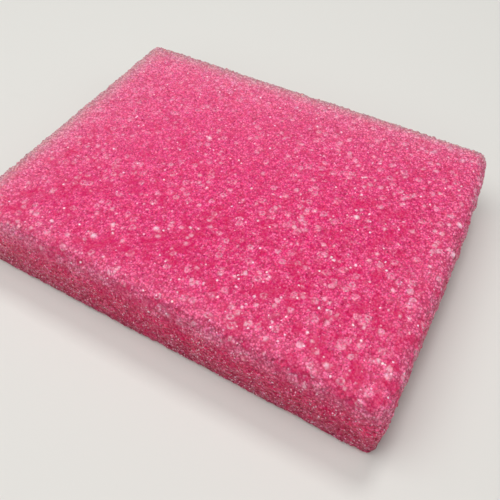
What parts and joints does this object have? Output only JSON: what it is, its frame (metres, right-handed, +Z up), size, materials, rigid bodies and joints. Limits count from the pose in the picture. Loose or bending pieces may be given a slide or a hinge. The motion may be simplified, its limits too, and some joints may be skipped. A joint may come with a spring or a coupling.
{
  "type": "nail buffer block",
  "caption": "Hand-held rectangular foam buffing pad with rounded edges and an abrasive working face on each broad side, for smoothing nails and skin.",
  "frame": {"origin": "middle of the underside, on the surface that the block stands on", "axes": "+X along the length, +Y across the width, +Z up through the thickness"},
  "size_m": [0.08, 0.06, 0.0135],
  "materials": {
    "working_face": "open-celled pink foam with a hard glossy abrasive-filled skin over the cell walls",
    "core_foam": "fine-celled pink foam, knife cut, duller than the working faces"
  },
  "bodies": {
    "root": {"foam_core": "core_foam", "abrasive_face_top": "working_face", "abrasive_face_bottom": "working_face"}
  },
  "joints": []
}
